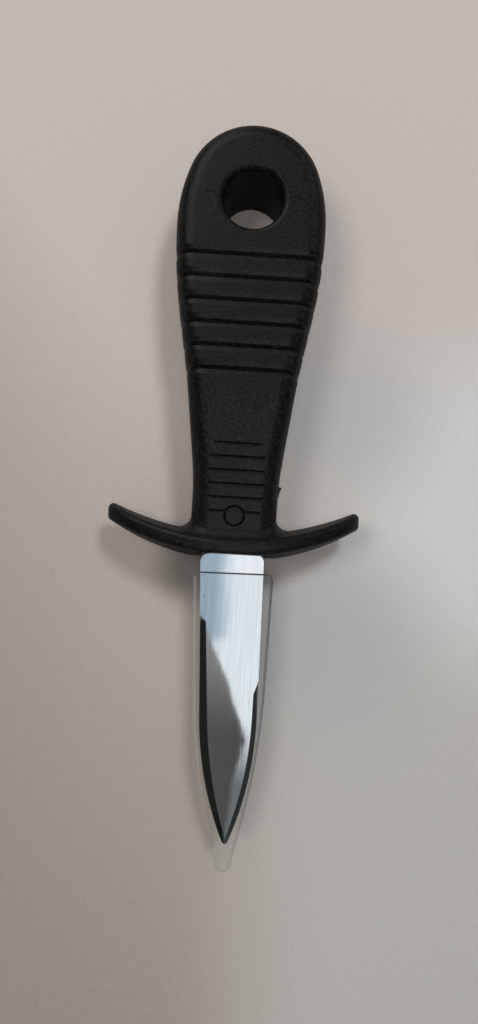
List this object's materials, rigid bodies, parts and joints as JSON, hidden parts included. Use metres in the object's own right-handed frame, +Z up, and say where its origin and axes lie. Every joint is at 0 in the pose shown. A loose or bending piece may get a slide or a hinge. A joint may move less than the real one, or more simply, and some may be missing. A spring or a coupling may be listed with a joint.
{
  "type": "oyster knife",
  "caption": "Short double edged blade in a moulded handle with a curved finger guard, gripping grooves and a hang hole, in a clear sleeve that slides off the tip.",
  "frame": {"origin": "middle of the plan outline, sleeve included, on the surface that the knife lies on", "axes": "X runs across the knife along its guard, +Y runs along the handle towards the pommel, and +Z is up, square to the flat of the blade"},
  "size_m": [0.0566, 0.166, 0.02],
  "materials": {
    "handle_plastic": "satin moulded polypropylene, black",
    "blade_steel": "finely ground stainless steel",
    "sleeve_film": "clear glossy plastic film"
  },
  "bodies": {
    "knife": {"handle": "handle_plastic", "blade": "blade_steel"},
    "sleeve": {"sleeve_top_film": "sleeve_film", "sleeve_bottom_film": "sleeve_film"}
  },
  "joints": [
    {"name": "sleeve_slide", "type": "slide", "parent": "knife", "child": "sleeve", "axis": [0.0192, -0.9998, 0], "range_m": [0, 0.065]}
  ]
}
